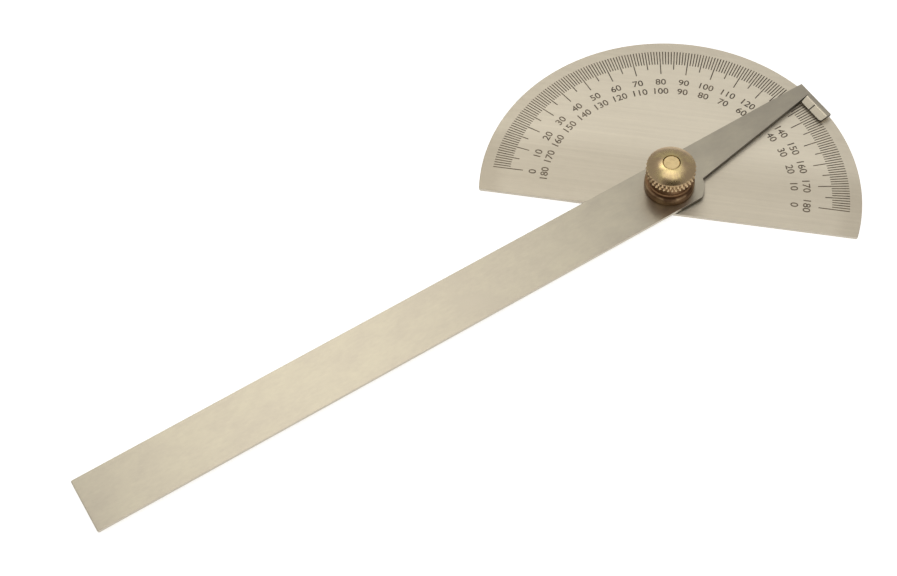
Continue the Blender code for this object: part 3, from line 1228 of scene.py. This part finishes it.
@dataclass
class ThumbNut:
    """The knurled brass nut, turned from bar. Heights are from its base."""

    stack: Stack
    brass: TurnedBrass
    height: float = 9.05 * MM
    mouth_radius: float = 2.08 * MM
    mouth_depth: float = 0.25 * MM
    base_chamfer: float = 0.35 * MM
    flange_radius: float = 5.92 * MM
    flange_height: float = 2.35 * MM
    flange_round: float = 0.58 * MM
    flange_steps: int = 6
    neck_radius: float = 4.9 * MM
    neck_round: float = 0.4 * MM
    neck_steps: int = 5
    knurl_radius: float = 5.88 * MM
    knurl_depth: float = 0.32 * MM
    knurl_bottom: float = 5.4 * MM
    knurl_top: float = 7.35 * MM
    knurl_count: int = 36
    knurl_rows: int = 2
    row_slack: float = 0.01
    crest_flat: float = 0.08 * MM
    dome_radius: float = 10.6 * MM
    dome_rim: float = 5.66 * MM
    dome_steps: int = 14
    smooth_angle: float = 32.0

    def section(self) -> Pen:
        """Draw the half section: dome, knurled band, neck, flange and bore.

        Returns:
            The pen at the end of the closed section.
        """
        axis = (0.0, -1.0, 0.0)

        def at(radius: float, height: float) -> Point:
            """The point of the section at a radius and a height."""
            return (radius, 0.0, self.stack.nut_base + height)

        start = at(self.mouth_radius, self.height)
        pen = Pen("thumb_nut_dressed", start)
        peak = math.sqrt(self.dome_radius**2 - self.mouth_radius**2)
        sweep = math.asin(self.dome_rim / self.dome_radius) - math.asin(self.mouth_radius / self.dome_radius)
        pen.arc(at(0.0, self.height - peak), -math.degrees(sweep), self.dome_steps, axis)
        row = (self.knurl_top - self.knurl_bottom) / self.knurl_rows
        for step in range(self.knurl_rows + 1):
            pen.line(at(self.knurl_radius, self.knurl_top - row * step))
        root = self.knurl_radius - self.knurl_depth
        hollow = self.flange_height + self.neck_round
        pen.line(
            at(self.neck_radius, self.knurl_bottom - (root - self.neck_radius)),
            at(self.neck_radius, hollow),
        )
        pen.arc(at(self.neck_radius + self.neck_round, hollow), 90.0, self.neck_steps, axis)
        shoulder = self.flange_radius - self.flange_round
        pen.line(at(shoulder, self.flange_height))
        pen.arc(at(shoulder, self.flange_height - self.flange_round), -90.0, self.flange_steps, axis)
        pen.line(
            at(self.flange_radius, self.base_chamfer),
            at(self.flange_radius - self.base_chamfer, 0.0),
            at(self.stack.bore_radius, 0.0),
            at(self.stack.bore_radius, self.height - self.mouth_depth),
            start,
        )
        return pen

    def knurl(self, nut: Thing) -> None:
        """Press every second point of the band in, so that crossing grooves leave flat-topped pyramids.

        Args:
            nut: The turned nut, in edit mode.
        """
        shape = bmesh.from_edit_mesh(nut.data)
        row_height = (self.knurl_top - self.knurl_bottom) / self.knurl_rows
        column = math.pi / self.knurl_count
        low = self.stack.nut_base + self.knurl_bottom
        crests, valleys = set(), set()
        for vert in shape.verts:
            row = (vert.co.z - low) / row_height
            on_band = -self.row_slack < row < self.knurl_rows + self.row_slack
            if vert.co.xy.length < self.dome_rim + WELD or not on_band:
                continue
            if (round(row) + round(math.atan2(vert.co.y, vert.co.x) / column)) % 2:
                vert.co.xy *= 1.0 - self.knurl_depth / self.knurl_radius
                valleys.add(vert)
            elif 0 < round(row) < self.knurl_rows:
                crests.add(vert)
        for face in list(shape.faces):
            ends = [vert for vert in face.verts if vert in valleys]
            if len(face.verts) == 4 and len(ends) == 2 and not shape.edges.get(ends):
                bmesh.utils.face_split(face, *ends)
        bmesh.update_edit_mesh(nut.data)
        pick(nut, Pick.VERT, lambda vert: vert in crests)
        bpy.ops.mesh.bevel(offset=self.crest_flat, segments=1, affect="VERTICES")

    def build(self) -> Thing:
        """Make the whole nut.

        Returns:
            The finished piece.
        """
        nut = self.section().close_turning(2 * self.knurl_count)
        self.knurl(nut)
        smooth(nut, self.smooth_angle)
        nut.data.materials.append(self.brass.material())
        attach(nut, Body.NUT.value)
        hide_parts("thumb_nut")
        return nut


@dataclass
class ClampScrew:
    """The screw that is the pivot: a thin flush head, a square neck and a shank up to the nut's mouth."""

    stack: Stack
    brass: FacedBrass
    radius: float = 1.95 * MM
    end_chamfer: float = 0.16 * MM
    head_radius: float = 3.6 * MM
    head_bottom: float = 0.05 * MM
    head_top: float = 0.28 * MM
    head_round: float = 0.06 * MM
    neck_gap: float = 0.025 * MM
    smooth_angle: float = 32.0

    def build(self) -> Thing:
        """Make the whole screw.

        Returns:
            The finished piece.
        """
        top = self.stack.nut_top
        pen = Pen("clamp_screw_dressed", (0.0, 0.0, top))
        pen.line(
            (self.radius - self.end_chamfer, 0.0, top),
            (self.radius, 0.0, top - self.end_chamfer),
            (self.radius, 0.0, self.head_top),
            (self.head_radius, 0.0, self.head_top),
            (self.head_radius, 0.0, self.head_bottom + self.head_round),
            (self.head_radius - self.head_round, 0.0, self.head_bottom),
            (0.0, 0.0, self.head_bottom),
        )
        screw = pen.close_turning(ROUND_STEPS)
        deselect()
        neck_top = self.stack.washer_top - self.neck_gap
        height = neck_top - (self.head_bottom + self.head_top) / 2
        scale = (self.stack.neck_side, self.stack.neck_side, height)
        bpy.ops.mesh.primitive_cube_add(size=1.0, location=(0.0, 0.0, neck_top - height / 2), scale=scale)
        cut(screw, named("square_neck"), Cut.JOIN)
        smooth(screw, self.smooth_angle)
        screw.data.materials.append(self.brass.material())
        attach(screw, Body.SCREW.value)
        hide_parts("clamp_screw")
        return screw


@dataclass(frozen=True)
class Lamp:
    """One softbox of the studio, given by where it hangs as seen from the pivot.

    The azimuth is in degrees from +Y towards +X. The spread is the half angle that the softbox fills across
    and up.
    """

    name: str
    azimuth: float
    elevation: float
    spread: tuple[float, float]
    radiance: float
    colour: Colour = WHITE
    distance: float = 1.6
    steep: float = 0.9

    def build(self) -> None:
        """Hang the softbox and turn it to the pivot."""
        turn, lift = math.radians(self.azimuth), math.radians(self.elevation)
        way = Vector((math.sin(turn) * math.cos(lift), math.cos(turn) * math.cos(lift), math.sin(lift)))
        data = bpy.data.lights.new(self.name, "AREA")
        data.shape = "ELLIPSE"
        data.color = self.colour
        data.size, data.size_y = (2 * self.distance * math.tan(math.radians(half)) for half in self.spread)
        data.energy = self.radiance * math.pi * (math.pi / 4) * data.size * data.size_y
        lamp = bpy.data.objects.new(self.name, data)
        bpy.context.scene.collection.objects.link(lamp)
        across = way.cross((0.0, -1.0, 0.0) if abs(way.z) > self.steep else (0.0, 0.0, -1.0)).normalized()
        axes = Matrix((across, way.cross(across), way)).transposed()
        lamp.matrix_world = Matrix.Translation(way * self.distance) @ axes.to_4x4()


@dataclass
class Studio:
    """The pale floor, the soft light and the camera."""

    lamps: tuple[Lamp, ...] = (
        Lamp("overhead", 90.0, 88.0, (21.0, 13.0), 1.35),
        Lamp("back_left", -31.0, 59.0, (12.8, 13.8), 1.62, (1.0, 0.985, 0.93)),
        Lamp("back_right", 40.0, 60.0, (12.4, 12.4), 0.5),
    )
    floor_size: float = 8.0
    floor_drop: float = 0.02 * MM
    floor_colour: Colour = (0.88, 0.88, 0.88)
    floor_lift: float = 0.66
    room: float = 0.48
    front_lift: float = 0.34
    front_reach: Reach = (0.1, 0.7)
    dark: float = 0.05
    dark_colour: Colour = (1.0, 0.80, 0.62)
    dark_way: Point = (0.12, -0.40, 0.91)
    dark_reach: Reach = (math.cos(math.radians(30.0)), math.cos(math.radians(15.0)))
    eye: Point = (0.006879, -0.22693, 0.31381)
    right: Point = (0.98031, 0.19118, -0.04951)
    down: Point = (0.13590, -0.83498, -0.53324)
    ahead: Point = (-0.14328, 0.51601, -0.84451)
    lens: float = 64.83
    sensor: float = 36.0
    clip: Reach = (0.01, 20.0)

    def floor(self) -> None:
        """Lay a pale floor that keeps the object's shadow and shows white to the camera."""
        deselect()
        bpy.ops.mesh.primitive_plane_add(size=self.floor_size, location=(0.0, 0.0, -self.floor_drop))
        floor = named("floor")
        material = bpy.data.materials.new("pale_floor")
        shading = Shading(material)
        path = shading.node("ShaderNodeLightPath", output="Is Camera Ray")
        seen = path + Wire(shading, path.socket.node.outputs["Is Glossy Ray"])
        matt = shading.node("ShaderNodeBsdfDiffuse", inputs={"Color": (*self.floor_colour, 1.0)})
        glow = shading.node("ShaderNodeEmission", inputs={"Strength": seen * self.floor_lift})
        shading.surface(shading.node("ShaderNodeAddShader", inputs={0: matt, 1: glow}))
        floor.data.materials.append(material)

    def sky(self) -> None:
        """Light the room from all sides, more from the front half, and keep a patch above the camera dark."""
        world = bpy.data.worlds.new("room")
        bpy.context.scene.world = world
        shading = Shading(world)
        way = shading.node("ShaderNodeTexCoord", output="Generated")
        facing = shading.compared("DOT_PRODUCT", way, self.dark_way)
        patch = shading.past(facing, self.dark_reach)
        colour = shading.tint(patch, WHITE, self.dark_colour)
        front = shading.past(0.0 - shading.parts(way)[Axis.Y.value], self.front_reach)
        level = front * self.front_lift + self.room
        strength = level * (1.0 - patch) + patch * self.dark
        shade = shading.node("ShaderNodeBackground", inputs={"Color": colour, "Strength": strength})
        shading.node("ShaderNodeOutputWorld", inputs={"Surface": shade})

    def camera(self) -> None:
        """Stand the camera where the photograph was taken from."""
        data = bpy.data.cameras.new("camera")
        data.lens = self.lens
        data.sensor_width = self.sensor
        data.clip_start, data.clip_end = self.clip
        camera = bpy.data.objects.new("camera", data)
        bpy.context.scene.collection.objects.link(camera)
        turn = Matrix((self.right, -Vector(self.down), -Vector(self.ahead))).transposed()
        camera.matrix_world = Matrix.Translation(self.eye) @ turn.to_4x4()
        bpy.context.scene.camera = camera

    def build(self) -> None:
        """Set up the whole studio."""
        self.floor()
        self.sky()
        for lamp in self.lamps:
            lamp.build()
        self.camera()
        bpy.context.scene.view_settings.view_transform = "Standard"


def main() -> None:
    """Build the pieces in order, dress the washer, and set up the studio."""
    logging.basicConfig(level=logging.INFO, format="%(message)s")
    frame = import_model()
    stack = Stack()
    head_steel = BrushedSheet(
        "head_steel_brushed",
        (0.859, 0.783, 0.638),
        (0.582, 0.515, 0.404),
        0.0,
        0.48,
        grain_depth=0.012 * MM,
        band_tone=0.51,
        cloud=Mottle(mm(40.0, 14.0, 40.0), 3.0, 0.55),
        cloud_tone=0.45,
        fleck_tone=0.18,
        tone=0.0,
        # Painted reflection and sheen: brighter above y = 5 mm, brighter to the right, and darker at the rim.
        patches=(
            Fade(Axis.Y, mm(5.0, 15.0), 0.42),
            Fade(Axis.X, mm(-34.0, 30.0), 0.14),
            Patch(mm(0.0, 0.0, 0.8), mm(38.0, 43.0), 0.27),
        ),
    )
    blade_steel = BrushedSheet(
        "blade_steel_brushed",
        (0.52, 0.472, 0.365),
        (0.435, 0.389, 0.312),
        CLAMPED_ANGLE,
        0.31,
        cloud=Mottle(mm(7.0, 5.0, 7.0), 3.0, 0.55),
        cloud_tone=1.7,
        fleck_tone=0.8,
        patches=(Patch(mm(-43.0, -39.0, 2.1), mm(6.0, 28.0), -0.25),),
    )
    washer_steel = BrushedSheet("washer_steel_stamped", (0.46, 0.43, 0.39), (0.34, 0.32, 0.29), 0.7, 0.48)
    etch = EtchedLine(
        "etched_line",
        (0.097, 0.073, 0.050),
        (0.245, 0.190, 0.128),
        (
            Patch(mm(-38.0, 10.0, 0.8), mm(10.0, 36.0), 0.20),
            Patch(mm(40.0, 8.0, 0.8), mm(8.0, 32.0), 0.14),
            Patch(mm(2.0, 28.0, 0.8), mm(4.0, 12.0), 0.10),
        ),
    )
    index = EtchedLine("index_line")
    ground = SheetEdge("ground_edge", (0.56, 0.51, 0.42), (0.45, 0.41, 0.345), 0.42)
    # Painted shade: a dark wall finish for the blade's walls over the scale.
    punched = SheetEdge("painted_shade_wall_edge", (0.22, 0.20, 0.165), (0.13, 0.118, 0.10), 0.55)
    pieces = [
        ScaleHead(stack, head_steel, etch, ground),
        SwingBlade(stack, blade_steel, index, ground, punched),
        ThumbNut(stack, TurnedBrass("nut_brass_turned")),
        ClampScrew(stack, FacedBrass("screw_brass_faced")),
    ]
    for piece in pieces:
        made = piece.build()
        LOG.info("%s: %d faces", made.name, len(made.data.polygons))
    washer = frame["nodes"]["friction_washer"]
    washer.data.materials.clear()
    washer.data.materials.append(washer_steel.material())
    LOG.info("%s: packed solid with a new finish", washer.name)
    Studio().build()
    deselect()


if __name__ == "__main__":
    main()
